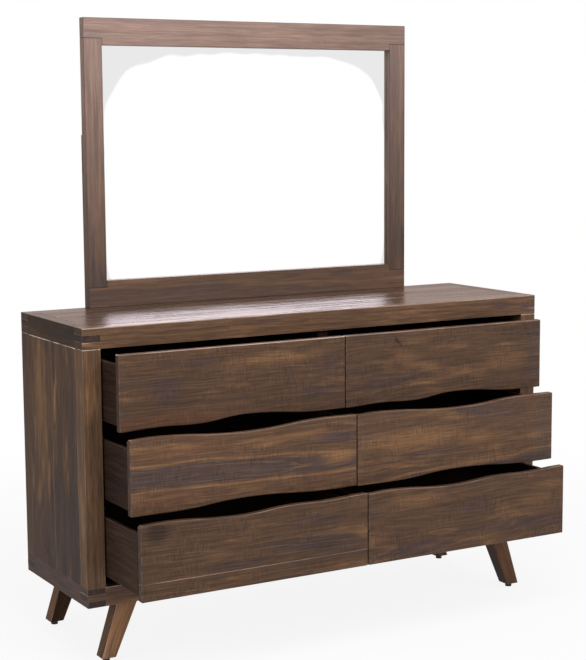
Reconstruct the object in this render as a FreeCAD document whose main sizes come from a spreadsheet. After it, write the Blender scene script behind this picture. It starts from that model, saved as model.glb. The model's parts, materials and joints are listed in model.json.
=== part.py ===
# Dresser with six live-edge drawers and a framed mirror, in millimetres.
# X runs along the width, the drawers open towards -Y, and Z is up. The origin is on the
# floor, under the middle of the whole piece as it stands with its drawers drawn out.

import FreeCAD, Part
import Sketcher
import math
import os
import re

# Driving dimensions, written once each.
SIZES = {
    # case
    "case_width": 1524,
    "case_depth": 457,
    "case_top": 936,
    "case_bottom": 166,
    "top_rail_height": 58,
    "bottom_rail_height": 53,
    "rail_depth": 53,
    "post_width": 53,
    "post_depth": 50,
    "top_panel_thickness": 18,
    "bottom_panel_thickness": 12,
    "panel_rabbet": 12,
    "side_panel_thickness": 18,
    "back_panel_thickness": 8,
    "divider_thickness": 32,
    "divider_setback": 1.5,
    "cleat_height": 26,
    # drawer fronts
    "front_thickness": 20,
    "front_side_gap": 6,
    "front_middle_gap": 3,
    "front_top_gap": 5,
    "front_row_gap": 8,
    "front_bottom_gap": 12,
    "front_corner_radius": 3,
    "worn_corner_radius": 9,
    "front_edge_bevel": 2,
    # drawer boxes
    "box_side_gap": 5,
    "box_side_thickness": 12,
    "box_back_thickness": 12,
    "box_top_drop": 27,
    "box_bottom_lift": 16.5,
    "box_back_gap": 29,
    "box_bottom_thickness": 6,
    "box_bottom_raise": 14,
    "box_groove": 6,
    # how far the rows stand open
    "top_row_open": 104,
    "middle_row_open": 166,
    "bottom_row_open": 224,
    # drawer slides, under the boxes
    "slide_front_gap": 3,
    "slide_back_gap": 17,
    "slide_steel": 1.5,
    "slide_flange_drop": 20,
    "slide_rail_width": 8,
    "slide_box_gap": 6,
    "slide_play": 0.5,
    # legs
    "leg_depth": 44,
    "leg_setback": 13.5,
    "leg_inset": 92,
    "leg_splay": 48,
    "leg_top_width": 61,
    "leg_foot_width": 41,
    "glide_height": 12,
    "glide_radius": 10,
    "bolt_radius": 5,
    "bolt_play": 0.3,
    "bolt_length": 70,
    # mirror
    "mirror_width": 1118,
    "mirror_height": 847,
    "mirror_thickness": 28,
    "mirror_rail_height": 79,
    "mirror_shoulder": 20,
    "mirror_stile_width": 58,
    "mirror_backing_recess": 2,
    "mirror_rabbet": 10,
    "mirror_play": 1,
    "glass_thickness": 4,
    "backing_thickness": 5,
    # mirror struts, on the back
    "strut_width": 64,
    "strut_thickness": 20,
    "strut_inset": 6,
    "strut_rise": 509,
    "strut_drop": 211,
    "screw_head_radius": 5,
    "screw_head_height": 2.5,
    "screw_edge": 16,
}

# The live edges, by their turning points: each a fraction of the front's width and an offset
# from the straight board edge, positive where wood is taken away for the fingers.
WAVES = {
    "top_row_bottom": ((0, 0), (0.17, 4.5), (0.32, 1.5), (0.55, 15), (0.9, 0.5), (1, 1)),
    "middle_row_top": ((0, 3), (0.09, 0.5), (0.5, 14), (0.88, 0), (1, 0.5)),
    "middle_row_bottom": ((0, 0.5), (0.16, 0), (0.5, 13.5), (0.9, 2), (1, 2.5)),
    "bottom_row_top": ((0, 3), (0.09, 0.5), (0.42, 12), (0.67, 3), (0.8, 5), (1, 0)),
}

# Rows from the top down: how far each stands open, and its upper and lower live edge.
ROWS = (
    ("top", "top_row_open", None, "top_row_bottom"),
    ("middle", "middle_row_open", "middle_row_top", "middle_row_bottom"),
    ("bottom", "bottom_row_open", "bottom_row_top", None),
)
COLUMNS = (("left", -1), ("right", 1))

# Places and sizes that follow from the driving dimensions.
HALF_WIDTH = "case_width / 2"
HALF_DEPTH = "case_depth / 2"
OPENING_TOP = "(case_top - top_rail_height)"
OPENING_BOTTOM = "(case_bottom + bottom_rail_height)"
OPENING_HEIGHT = f"({OPENING_TOP} - {OPENING_BOTTOM})"
OPENING_SIDE = "(case_width / 2 - post_width)"
FRONT_HEIGHT = (f"(({OPENING_HEIGHT} - front_top_gap - 2 * front_row_gap"
                " - front_bottom_gap) / 3)")
FRONT_WIDTH = f"({OPENING_SIDE} - front_side_gap - front_middle_gap / 2)"
FRONT_BACK = "(front_thickness - case_depth / 2)"
DIVIDER_FACE = "(divider_thickness / 2)"
BAY_WIDTH = f"({OPENING_SIDE} - {DIVIDER_FACE})"
BOX_WIDTH = f"({BAY_WIDTH} - 2 * box_side_gap)"
BOX_INSIDE = f"({BOX_WIDTH} - 2 * box_side_thickness)"
BOX_LENGTH = "(case_depth - front_thickness - back_panel_thickness - box_back_gap)"
BOX_SIDE_HEIGHT = f"({FRONT_HEIGHT} - box_top_drop - box_bottom_lift)"
CHANNEL_OUTSIDE = "(box_side_gap + box_side_thickness + slide_box_gap)"
RAIL_OUTSIDE = f"({CHANNEL_OUTSIDE} + slide_steel + slide_play)"
RAIL_INSIDE = f"({RAIL_OUTSIDE} + slide_rail_width)"
SLIDE_FRONT = f"({FRONT_BACK} + slide_front_gap)"
SLIDE_LENGTH = f"({BOX_LENGTH} - slide_front_gap - slide_back_gap)"
LEG_Y = "(case_depth / 2 - leg_setback - leg_depth / 2)"
LEG_TOP_OUTSIDE = "(case_width / 2 - leg_inset)"
LEG_FOOT_OUTSIDE = "(case_width / 2 - leg_inset + leg_splay)"
RAIL_END_HEIGHT = "(mirror_rail_height - mirror_shoulder)"
MIRROR_REVEAL = ("(mirror_thickness - mirror_backing_recess - backing_thickness"
                 " - glass_thickness)")
SIGHT_HEIGHT = "(mirror_height - 2 * mirror_rail_height)"
SIGHT_WIDTH = "(mirror_width - 2 * mirror_stile_width)"
MIRROR_FRONT = "(case_depth / 2 - mirror_thickness)"
CASE_MIDDLE_Y = "(bottom_row_open - strut_thickness - screw_head_height) / 2"

doc = FreeCAD.newDocument("Dresser")
sheet = doc.addObject("Spreadsheet::Sheet", "Sizes")
for row, (alias, size) in enumerate(SIZES.items(), start=1):
    sheet.set(f"A{row}", alias)
    sheet.set(f"B{row}", str(size))
    sheet.setAlias(f"B{row}", alias)
doc.recompute()

WORD = re.compile(r"[a-z]+(?:_[a-z]+)+")
nodes = []


def bound(text):
    """A formula in the words of the sheet, as an expression of the document."""
    return WORD.sub(lambda word: "Sizes." + word.group(0), str(text))


def value(text):
    """The number that the same formula gives."""
    number = FreeCAD.Units.parseQuantity(WORD.sub(lambda word: str(SIZES[word.group(0)]), str(text)))
    return float(number)


def bind(item, prop, text):
    item.setExpression(prop, bound(text))


def place(item, corner, axis=(0, 0, 1), angle=0):
    """Turns an object about an axis and puts its own origin at a corner.

    The corner is given as formulas, counted from the middle of the case on the floor.
    """
    turn = FreeCAD.Rotation(FreeCAD.Vector(*axis), angle)
    item.Placement = FreeCAD.Placement(FreeCAD.Vector(), turn)
    x, y, z = corner
    for letter, text in zip("xyz", (x, f"{y} + {CASE_MIDDLE_Y}", z)):
        bind(item, f".Placement.Base.{letter}", text)


def new_body(label):
    body = doc.addObject("PartDesign::Body", label)
    body.Label = label
    return body


def new_sketch(body, name, role="XY_Plane"):
    sketch = body.newObject("Sketcher::SketchObject", name)
    plane = next(item for item in body.Origin.OriginFeatures if item.Role == role)
    sketch.AttachmentSupport = (plane, [""])
    sketch.MapMode = "FlatFace"
    return sketch


def outline(sketch, corners):
    """A closed outline of straight edges, each corner held by two formulas."""
    points = [FreeCAD.Vector(value(x), value(y), 0) for x, y in corners]
    count = len(points)
    for index, point in enumerate(points):
        sketch.addGeometry(Part.LineSegment(point, points[(index + 1) % count]), False)
    for index in range(count):
        sketch.addConstraint(Sketcher.Constraint("Coincident", index, 2, (index + 1) % count, 1))
    for index, (x, y) in enumerate(corners):
        for kind, text in (("DistanceX", x), ("DistanceY", y)):
            if value(text) == 0:
                axis = -2 if kind == "DistanceX" else -1
                sketch.addConstraint(Sketcher.Constraint("PointOnObject", index, 1, axis))
                continue
            name = f"{kind}{index}"
            held = sketch.addConstraint(Sketcher.Constraint(kind, -1, 1, index, 1, value(text)))
            sketch.renameConstraint(held, name)
            bind(sketch, f"Constraints.{name}", text)


def pad(body, sketch, length, name="Pad"):
    feature = body.newObject("PartDesign::Pad", name)
    feature.Profile = sketch
    bind(feature, "Length", length)
    return feature


def prism(label, corners, length, role="XY_Plane"):
    """A body made by padding a straight-edged outline."""
    body = new_body(label)
    sketch = new_sketch(body, f"{label}_outline", role)
    outline(sketch, corners)
    pad(body, sketch, length, f"{label}_pad")
    return body


def board(label, size, corner, axis=(0, 0, 1), angle=0):
    """A rectangular board whose own lowest corner is put at the given corner."""
    long, wide, thick = size
    body = prism(label, ((0, 0), (long, 0), (long, wide), (0, wide)), thick)
    place(body, corner, axis, angle)
    return body


def cut(body, name, size, corner):
    """Takes a rectangular notch, groove or rabbet out of a body, in its own directions."""
    box = body.newObject("PartDesign::SubtractiveBox", name)
    for prop, text in zip(("Length", "Width", "Height"), size):
        bind(box, prop, text)
    for letter, text in zip("xyz", corner):
        bind(box, f".Placement.Base.{letter}", text)
    return box


def bore(body, name, radius, depth, corner):
    """Takes a vertical round hole out of a body, upwards from the given point."""
    hole = body.newObject("PartDesign::SubtractiveCylinder", name)
    bind(hole, "Radius", radius)
    bind(hole, "Height", depth)
    for letter, text in zip("xyz", corner):
        bind(hole, f".Placement.Base.{letter}", text)
    return hole


def node(item):
    nodes.append((item.Label, (item,)))
    return item


def group(label, items):
    """One node of several separate solids."""
    nodes.append((label, tuple(items)))


def frame_rail(label, length, height, panel, outer_fingers, corner, angle):
    """A frame rail with three box-joint fingers at each end and a rabbet for the panel."""
    rail = board(label, (length, "rail_depth", height), corner, angle=angle)
    third = f"({height} / 3)"
    slots = (third,) if outer_fingers else (0, f"2 * {third}")
    for end, start in (("near", 0), ("far", f"{length} - rail_depth")):
        for count, base in enumerate(slots):
            cut(rail, f"{label}_{end}_slot_{count}", ("rail_depth", "rail_depth", third), (start, 0, base))
    cut(rail, f"{label}_rabbet",
        (f"{length} - 2 * rail_depth + 2 * panel_rabbet", "panel_rabbet", panel),
        ("rail_depth - panel_rabbet", "rail_depth - panel_rabbet", f"{height} - {panel}"))
    return rail


def box_frame(level, height, base, panel, long_rails_outer):
    """Four rails, box-jointed at the corners, with a panel let into them flush on top."""
    rails = {}
    for side, angle, x, y in (("front", 0, f"-{HALF_WIDTH}", f"-{HALF_DEPTH}"),
                              ("back", 180, HALF_WIDTH, HALF_DEPTH)):
        rails[side] = frame_rail(f"{level}_{side}_rail", "case_width", height, panel,
                                 long_rails_outer, (x, y, base), angle)
        node(rails[side])
    group(f"{level}_side_rails",
          [frame_rail(f"{level}_{side}_rail", "case_depth", height, panel, not long_rails_outer,
                      (x, y, base), angle)
           for side, angle, x, y in (("right", 90, HALF_WIDTH, f"-{HALF_DEPTH}"),
                                     ("left", -90, f"-{HALF_WIDTH}", HALF_DEPTH))])
    inset = "(rail_depth - panel_rabbet)"
    node(board(f"{level}_panel", (f"case_width - 2 * {inset}", f"case_depth - 2 * {inset}", panel),
               (f"{inset} - {HALF_WIDTH}", f"{inset} - {HALF_DEPTH}", f"{base} + {height} - {panel}")))
    return rails


def case_uprights():
    """Corner posts, side panels, centre divider and back."""
    for side, x in (("left", f"-{HALF_WIDTH}"), ("right", OPENING_SIDE)):
        for end, y in (("front", f"-{HALF_DEPTH}"), ("back", f"{HALF_DEPTH} - post_depth")):
            node(board(f"{end}_{side}_post", ("post_width", "post_depth", OPENING_HEIGHT),
                       (x, y, OPENING_BOTTOM)))
    group("side_panels",
          [board(f"{side}_side_panel",
                 ("side_panel_thickness", "case_depth - 2 * post_depth", OPENING_HEIGHT),
                 (x, f"post_depth - {HALF_DEPTH}", OPENING_BOTTOM))
           for side, x in (("left", f"-{HALF_WIDTH}"), ("right", f"{HALF_WIDTH} - side_panel_thickness"))])
    front = f"({FRONT_BACK} + divider_setback)"
    node(board("centre_divider",
               ("divider_thickness", f"{HALF_DEPTH} - back_panel_thickness - {front}", OPENING_HEIGHT),
               (f"-{DIVIDER_FACE}", front, OPENING_BOTTOM)))
    node(board("back_panel", (f"2 * {OPENING_SIDE}", "back_panel_thickness", OPENING_HEIGHT),
               (f"-{OPENING_SIDE}", f"{HALF_DEPTH} - back_panel_thickness", OPENING_BOTTOM)))


def row_front_bottom(row):
    """The height of a row's straight lower edge; row 0 is the top one."""
    return f"({OPENING_BOTTOM} + front_bottom_gap + {2 - row} * ({FRONT_HEIGHT} + front_row_gap))"


def box_bottom_edge(row):
    """The height of the lower edge of a row's drawer sides."""
    return f"({row_front_bottom(row)} + box_bottom_lift)"


def live_edge(points, base, direction):
    """Arcs through the turning points of a live edge, level at each, from left to right."""
    width = value(FRONT_WIDTH)
    stops = [FreeCAD.Vector(share * width, base + direction * depth, 0) for share, depth in points]
    arcs = []
    for start, end in zip(stops, stops[1:]):
        run = (end.x - start.x) / 2
        rise = (end.y - start.y) / 2
        turn = math.atan(abs(rise) / run)
        radius = (run * run + rise * rise) / (2 * abs(rise))
        along = radius * math.sin(turn)
        across = math.copysign(radius * (1 - math.cos(turn)), rise)
        middle = (start + end) / 2
        arcs.append(Part.Arc(start, start + FreeCAD.Vector(along, across, 0), middle))
        arcs.append(Part.Arc(middle, end - FreeCAD.Vector(along, across, 0), end))
    return arcs


def long_edge(wave, base, direction):
    """A front's upper or lower edge: its arcs, or one straight line."""
    if wave:
        return live_edge(WAVES[wave], base, direction)
    return [Part.LineSegment(FreeCAD.Vector(0, base, 0), FreeCAD.Vector(value(FRONT_WIDTH), base, 0))]


def drawer_front(label, upper, lower, worn):
    """A thick plank front, its long edges either straight or following a live edge.

    Where it is worn, the corner at the left end of its upper edge is rounder than the rest.
    """
    body = new_body(label)
    sketch = new_sketch(body, f"{label}_outline", "XZ_Plane")
    below = long_edge(lower, 0, 1)
    above = long_edge(upper, value(FRONT_HEIGHT), -1)
    ends = [Part.LineSegment(below[0].StartPoint, above[0].StartPoint),
            Part.LineSegment(below[-1].EndPoint, above[-1].EndPoint)]
    for edge in below + above + ends:
        sketch.addGeometry(edge, False)
    pad(body, sketch, "front_thickness", f"{label}_pad")
    upper_left = above[0].StartPoint
    others = (below[0].StartPoint, below[-1].EndPoint, above[-1].EndPoint)
    dress_edges(body, "Fillet", "other_corners", "front_corner_radius", across_at(others))
    dress_edges(body, "Fillet", "upper_left_corner",
                "worn_corner_radius" if worn else "front_corner_radius", across_at([upper_left]))
    face = -value("front_thickness")
    dress_edges(body, "Chamfer", "rim", "front_edge_bevel",
                lambda points: all(abs(point.y - face) < 0.001 for point in points))
    return body


def across_at(corners):
    """A test for the edges that run through the plank's thickness at the given outline corners."""
    def chosen(points):
        start, end = points[0], points[-1]
        near = any(math.hypot(start.x - corner.x, start.z - corner.y) < 0.001 for corner in corners)
        return near and abs(start.y - end.y) > 0.001
    return chosen


def dress_edges(body, kind, name, size, chosen):
    """Rounds or bevels the edges whose end points the given test picks."""
    doc.recompute()
    base = body.Tip
    picked = [f"Edge{index}" for index, edge in enumerate(body.Shape.Edges, start=1)
              if chosen([vertex.Point for vertex in edge.Vertexes])]
    dressed = body.newObject(f"PartDesign::{kind}", f"{body.Label}_{name}")
    dressed.Base = (base, picked)
    bind(dressed, "Radius" if kind == "Fillet" else "Size", size)


def drawer(row, column):
    """One drawer: front, two sides, back, bottom and the two slide channels under it."""
    level, opened, upper, lower = ROWS[row]
    side, sign = COLUMNS[column]
    name = f"{level}_{side}_drawer"
    front = drawer_front(f"{name}_front", upper, lower, side == "left" and upper is not None)
    near = f"-({FRONT_WIDTH} + front_middle_gap / 2)" if sign < 0 else "front_middle_gap / 2"
    place(front, (near, f"{FRONT_BACK} - {opened}", row_front_bottom(row)))
    edge = box_bottom_edge(row)
    groove_up = f"({edge} + box_bottom_raise - {row_front_bottom(row)})"
    left = f"-({OPENING_SIDE} - box_side_gap)" if sign < 0 else f"({DIVIDER_FACE} + box_side_gap)"
    cut(front, f"{name}_front_groove",
        (f"{BOX_INSIDE} + 2 * box_groove", "box_groove", "box_bottom_thickness"),
        (f"{left} + box_side_thickness - box_groove - ({near})", "-box_groove", groove_up))
    node(front)
    start = f"({FRONT_BACK} - {opened})"
    sides = []
    for hand, x, groove in (("near", left, "box_side_thickness - box_groove"),
                            ("far", f"{left} + {BOX_WIDTH} - box_side_thickness", 0)):
        plank = board(f"{name}_{hand}_side", ("box_side_thickness", BOX_LENGTH, BOX_SIDE_HEIGHT),
                      (x, start, edge))
        cut(plank, f"{name}_{hand}_groove", ("box_groove", BOX_LENGTH, "box_bottom_thickness"),
            (groove, 0, "box_bottom_raise"))
        sides.append(plank)
    group(f"{name}_sides", sides)
    inner = f"({left} + box_side_thickness)"
    floor = f"({edge} + box_bottom_raise)"
    node(board(f"{name}_back",
               (BOX_INSIDE, "box_back_thickness",
                f"{BOX_SIDE_HEIGHT} - box_bottom_raise - box_bottom_thickness"),
               (inner, f"{start} + {BOX_LENGTH} - box_back_thickness",
                f"{floor} + box_bottom_thickness")))
    node(board(f"{name}_bottom",
               (f"{BOX_INSIDE} + 2 * box_groove", f"{BOX_LENGTH} + box_groove", "box_bottom_thickness"),
               (f"{inner} - box_groove", f"{start} - box_groove", floor)))
    outside = CHANNEL_OUTSIDE
    inside = f"({RAIL_INSIDE} + slide_play + slide_steel)"
    section = ((outside, "slide_steel"), (f"{outside} + slide_steel", "slide_steel"),
               (f"{outside} + slide_steel", "box_bottom_raise - slide_steel"),
               (f"{inside} - slide_steel", "box_bottom_raise - slide_steel"),
               (f"{inside} - slide_steel", "slide_steel"), (inside, "slide_steel"),
               (inside, "box_bottom_raise"), (outside, "box_bottom_raise"))
    channels = []
    for hand, wall, facing in (("near", f"{left} - box_side_gap", 1),
                               ("far", f"{left} + {BOX_WIDTH} + box_side_gap", -1)):
        channels.append(slide_part(f"{name}_{hand}_channel", section, wall, facing,
                                   f"{SLIDE_FRONT} - {opened}", edge))
    group(f"{name}_slides", channels)


def slide_part(label, section, wall, facing, start, base):
    """A length of slide section; its outline is drawn from the wall inwards."""
    corners = [(f"{facing} * ({x})", z) for x, z in section]
    part = prism(label, corners, SLIDE_LENGTH, "XZ_Plane")
    place(part, (wall, f"{start} + {SLIDE_LENGTH}", base))
    return part


def case_slides():
    """The fixed slide rails, two to a drawer, and the cleats that carry the outer ones."""
    rails = []
    cleats = []
    top = "(box_bottom_raise - slide_steel - slide_play)"
    foot = "(-slide_flange_drop - slide_steel)"
    section = ((0, foot), ("slide_steel", foot), ("slide_steel", "-2 * slide_steel"),
               (RAIL_INSIDE, "-2 * slide_steel"), (RAIL_INSIDE, top), (RAIL_OUTSIDE, top),
               (RAIL_OUTSIDE, "-slide_steel"), (0, "-slide_steel"))
    for row, (level, *_) in enumerate(ROWS):
        edge = box_bottom_edge(row)
        for side, sign in COLUMNS:
            for wall_name, wall, facing in (("outer", f"{sign} * {OPENING_SIDE}", -sign),
                                            ("inner", f"{sign} * {DIVIDER_FACE}", sign)):
                rails.append(slide_part(f"{level}_{side}_{wall_name}_rail", section, wall, facing,
                                        SLIDE_FRONT, edge))
            x = f"-{HALF_WIDTH} + side_panel_thickness" if sign < 0 else OPENING_SIDE
            cleats.append(board(f"{level}_{side}_cleat",
                                ("post_width - side_panel_thickness", "case_depth - 2 * post_depth",
                                 "cleat_height"),
                                (x, f"post_depth - {HALF_DEPTH}", f"{edge} - cleat_height")))
    group("case_slide_rails", rails)
    group("slide_cleats", cleats)


def legs(rails):
    """Splayed, tapered legs, each bolted up into the rail above it and shod with a glide."""
    bolts = []
    glides = []
    rise = "(case_bottom - glide_height)"
    half = "(bolt_length / 2)"
    bolt_x = f"({LEG_TOP_OUTSIDE} - leg_top_width / 2)"
    glide_x = f"({LEG_FOOT_OUTSIDE} - leg_foot_width / 2)"
    corners = ((f"{LEG_FOOT_OUTSIDE} - leg_foot_width", 0), (LEG_FOOT_OUTSIDE, 0),
               (LEG_TOP_OUTSIDE, rise), (f"{LEG_TOP_OUTSIDE} - leg_top_width", rise))
    for end, turn in (("front", -1), ("back", 1)):
        for side, sign in COLUMNS:
            name = f"{end}_{side}_leg"
            leg = prism(name, [(f"{sign} * ({x})", z) for x, z in corners], "leg_depth", "XZ_Plane")
            place(leg, (0, f"{turn} * {LEG_Y} + leg_depth / 2", "glide_height"))
            bore(leg, f"{name}_bolt_hole", "bolt_radius + bolt_play", half,
                 (f"{sign} * {bolt_x}", "-leg_depth / 2", f"{rise} - {half}"))
            node(leg)
            rail = rails[end]
            # The rails' own X runs from their near end, so the back rail counts from the right.
            along = f"case_width / 2 - {turn} * {sign} * {bolt_x}"
            bore(rail, f"{name}_rail_hole", "bolt_radius + bolt_play", half,
                 (along, "leg_setback + leg_depth / 2", 0))
            bolt = doc.addObject("Part::Cylinder", f"{name}_bolt")
            bind(bolt, "Radius", "bolt_radius")
            bind(bolt, "Height", "bolt_length - 2 * bolt_play")
            place(bolt, (f"{sign} * {bolt_x}", f"{turn} * {LEG_Y}", f"case_bottom - {half} + bolt_play"))
            bolts.append(bolt)
            glide = doc.addObject("Part::Cylinder", f"{name}_glide")
            bind(glide, "Radius", "glide_radius")
            bind(glide, "Height", "glide_height")
            place(glide, (f"{sign} * {glide_x}", f"{turn} * {LEG_Y}", 0))
            glides.append(glide)
    group("leg_bolts", bolts)
    group("leg_glides", glides)


def mirror():
    """The framed mirror, its backing and the struts that hold it to the back of the case."""
    for end, angle, x, z in (
            ("top", 0, "-mirror_width / 2", "case_top + mirror_height - mirror_rail_height"),
            ("bottom", 180, "mirror_width / 2", "case_top + mirror_rail_height")):
        rail = board(f"mirror_{end}_rail", ("mirror_width", "mirror_thickness", "mirror_rail_height"),
                     (x, MIRROR_FRONT, z), (0, 1, 0), angle)
        for near, start in (("left", 0), ("right", "mirror_width - mirror_stile_width")):
            cut(rail, f"mirror_{end}_{near}_notch",
                ("mirror_stile_width", "mirror_thickness", "mirror_shoulder"), (start, 0, 0))
        cut(rail, f"mirror_{end}_rabbet",
            (SIGHT_WIDTH, f"mirror_thickness - {MIRROR_REVEAL}", "mirror_rabbet"),
            ("mirror_stile_width", MIRROR_REVEAL, 0))
        node(rail)
    stile_height = f"(mirror_height - 2 * {RAIL_END_HEIGHT})"
    stiles = []
    for side, angle, x, z in (("left", 0, "-mirror_width / 2", f"case_top + {RAIL_END_HEIGHT}"),
                              ("right", 180, "mirror_width / 2",
                               f"case_top + mirror_height - {RAIL_END_HEIGHT}")):
        stile = board(f"mirror_{side}_stile", ("mirror_stile_width", "mirror_thickness", stile_height),
                      (x, MIRROR_FRONT, z), (0, 1, 0), angle)
        cut(stile, f"mirror_{side}_rabbet",
            ("mirror_rabbet", f"mirror_thickness - {MIRROR_REVEAL}",
             f"{SIGHT_HEIGHT} + 2 * mirror_rabbet"),
            ("mirror_stile_width - mirror_rabbet", MIRROR_REVEAL, "mirror_shoulder - mirror_rabbet"))
        stiles.append(stile)
    group("mirror_stiles", stiles)
    pane = (f"{SIGHT_WIDTH} + 2 * mirror_rabbet - 2 * mirror_play",
            f"{SIGHT_HEIGHT} + 2 * mirror_rabbet - 2 * mirror_play")
    low = (f"mirror_stile_width - mirror_rabbet + mirror_play - mirror_width / 2",
           "case_top + mirror_rail_height - mirror_rabbet + mirror_play")
    for label, depth, thickness in (
            ("mirror_glass", MIRROR_REVEAL, "glass_thickness"),
            ("mirror_backing", f"{MIRROR_REVEAL} + glass_thickness", "backing_thickness")):
        node(board(label, (pane[0], thickness, pane[1]), (low[0], f"{MIRROR_FRONT} + {depth}", low[1])))
    struts = []
    screws = []
    for side, sign in COLUMNS:
        near = "(mirror_width / 2 - strut_inset)"
        x = f"-{near}" if sign < 0 else f"{near} - strut_width"
        struts.append(board(f"{side}_mirror_strut",
                            ("strut_width", "strut_thickness", "strut_rise + strut_drop"),
                            (x, HALF_DEPTH, "case_top - strut_drop")))
        for place_name, z in (
                ("low", "case_top - strut_drop + screw_edge"),
                ("top_rail", "case_top - top_rail_height / 2"),
                ("mirror_rail", f"case_top + {RAIL_END_HEIGHT} / 2"),
                ("high", "case_top + strut_rise - 2 * screw_edge")):
            for column, across in (("a", "screw_edge"), ("b", "strut_width - screw_edge")):
                screw = doc.addObject("Part::Cylinder", f"{side}_strut_screw_{place_name}_{column}")
                bind(screw, "Radius", "screw_head_radius")
                bind(screw, "Height", "screw_head_height")
                place(screw, (f"{x} + {across}", f"{HALF_DEPTH} + strut_thickness + screw_head_height", z),
                      (1, 0, 0), 90)
                screws.append(screw)
    group("mirror_struts", struts)
    group("strut_screws", screws)


box_frame("top", "top_rail_height", OPENING_TOP, "top_panel_thickness", True)
bottom_rails = box_frame("bottom", "bottom_rail_height", "case_bottom", "bottom_panel_thickness", False)
case_uprights()
for row in range(len(ROWS)):
    for column in range(len(COLUMNS)):
        drawer(row, column)
case_slides()
legs(bottom_rails)
mirror()
doc.recompute()

for item in doc.Objects:
    if "Invalid" in item.State or "Error" in item.State:
        raise RuntimeError(f"{item.Label} did not build: {item.State}")
os.makedirs("parts", exist_ok=True)
for label, items in nodes:
    shapes = [item.Shape for item in items]
    for shape in shapes:
        if shape.isNull() or not shape.isValid() or not shape.Solids:
            raise RuntimeError(f"{label} has a bad shape")
    whole = shapes[0] if len(shapes) == 1 else Part.makeCompound(shapes)
    whole.exportStep(f"parts/{label}.step")
print(len(nodes), "nodes")
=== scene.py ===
# %% [markdown]
# # A dresser in walnut-stained pine, with a framed mirror
# Six drawers with live-edge fronts stand open by rows under a box-jointed top, and a framed
# mirror stands on the top at the back. The construction comes from a measured model, the frame.
# This script gives every board its grain, its eased edges and its finish, and lights it all.

# %% The frame
import json
import math
import random
from collections import namedtuple

import bmesh
import bpy
from mathutils import Matrix, Vector


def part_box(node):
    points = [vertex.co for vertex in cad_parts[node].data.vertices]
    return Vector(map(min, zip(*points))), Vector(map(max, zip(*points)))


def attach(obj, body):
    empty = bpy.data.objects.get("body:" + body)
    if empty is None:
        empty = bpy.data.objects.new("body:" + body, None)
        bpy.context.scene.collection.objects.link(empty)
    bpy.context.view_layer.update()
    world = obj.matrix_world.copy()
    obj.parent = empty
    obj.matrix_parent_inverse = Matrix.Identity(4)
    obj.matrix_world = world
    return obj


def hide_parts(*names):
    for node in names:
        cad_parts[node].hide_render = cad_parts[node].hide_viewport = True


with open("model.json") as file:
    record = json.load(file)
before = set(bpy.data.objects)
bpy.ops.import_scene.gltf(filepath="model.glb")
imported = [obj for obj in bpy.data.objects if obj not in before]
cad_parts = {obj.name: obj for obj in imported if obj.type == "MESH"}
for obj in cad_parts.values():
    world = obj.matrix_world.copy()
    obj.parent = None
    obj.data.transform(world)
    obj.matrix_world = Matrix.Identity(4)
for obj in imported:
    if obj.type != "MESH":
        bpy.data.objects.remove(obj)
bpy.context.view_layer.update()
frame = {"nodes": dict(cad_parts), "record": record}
body_of = {node: body for body, members in frame["record"]["behaviour"]["bodies"].items()
           for node in members}
chance = random.Random(7)

# %% [markdown]
# ## The camera
# The photograph was taken from the left, a little above the top of the case, with a long lens.
# The place, the three angles and the focal length were worked out from the straight edges, so
# a real millimetre here falls on the same pixel as it does there.

# %% The camera
# The place is in metres, the angles in radians, the focal length and height in pixels.
CAMERA_PLACE = Vector((-2.3869, -4.0775, 1.4787))
TURN_LEFT, TILT_UP, ROLL = -0.5224, -0.1291, -0.0068
FOCAL_PIXELS = 1603.7
IMAGE_HEIGHT = 660
FILM = 36.0

camera = bpy.data.cameras.new("camera")
camera.sensor_width = FILM
camera.lens = FOCAL_PIXELS / IMAGE_HEIGHT * FILM
camera_object = bpy.data.objects.new("camera", camera)
bpy.context.scene.collection.objects.link(camera_object)
forward = Vector((-math.sin(TURN_LEFT) * math.cos(TILT_UP),
                  math.cos(TURN_LEFT) * math.cos(TILT_UP), math.sin(TILT_UP)))
level = Vector((math.cos(TURN_LEFT), math.sin(TURN_LEFT), 0))
upright = level.cross(forward)
right = math.cos(ROLL) * level + math.sin(ROLL) * upright
up = -math.sin(ROLL) * level + math.cos(ROLL) * upright
camera_object.matrix_world = Matrix((
    (right.x, up.x, -forward.x, CAMERA_PLACE.x), (right.y, up.y, -forward.y, CAMERA_PLACE.y),
    (right.z, up.z, -forward.z, CAMERA_PLACE.z), (0, 0, 0, 1)))
bpy.context.scene.camera = camera_object
bpy.context.scene.view_settings.view_transform = "Standard"
print("camera: lens", round(camera.lens, 1), "mm")

# %% [markdown]
# ## Two helpers
# Colours are written as sRGB hex, as a colour card gives them, and one function turns them into
# the linear numbers that a shader wants. The other helper adds one node with its settings and
# its links, so that a material reads as a list of steps.


# %% Colours and nodes
def linear(code):
    """An sRGB hex colour as linear RGBA."""
    parts = [int(code[place:place + 2], 16) / 255 for place in (1, 3, 5)]
    return tuple(part / 12.92 if part <= 0.04045 else ((part + 0.055) / 1.055) ** 2.4
                 for part in parts) + (1.0,)


def add(tree, kind, settings=None, links=None):
    """Adds a node: settings go to its properties or sockets, links join other nodes' sockets."""
    node = tree.nodes.new(kind)
    for name, value in (settings or {}).items():
        if isinstance(name, str) and hasattr(node, name):
            setattr(node, name, value)
        else:
            node.inputs[name].default_value = value
    for name, socket in (links or {}).items():
        tree.links.new(socket, node.inputs[name])
    return node


def new_material(name):
    """An empty material and its node tree."""
    material = bpy.data.materials.new(name)
    material.use_nodes = True
    material.node_tree.nodes.clear()
    return material, material.node_tree


# %% [markdown]
# ## The room
# A pale floor under soft light. The camera sees plain white all round, and so does whatever
# mirrors the room in front. Behind the dresser the room is greyer and a little warm, as in a
# studio where the white sheets stand in front. The camera never sees that, only the polish.

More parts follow.
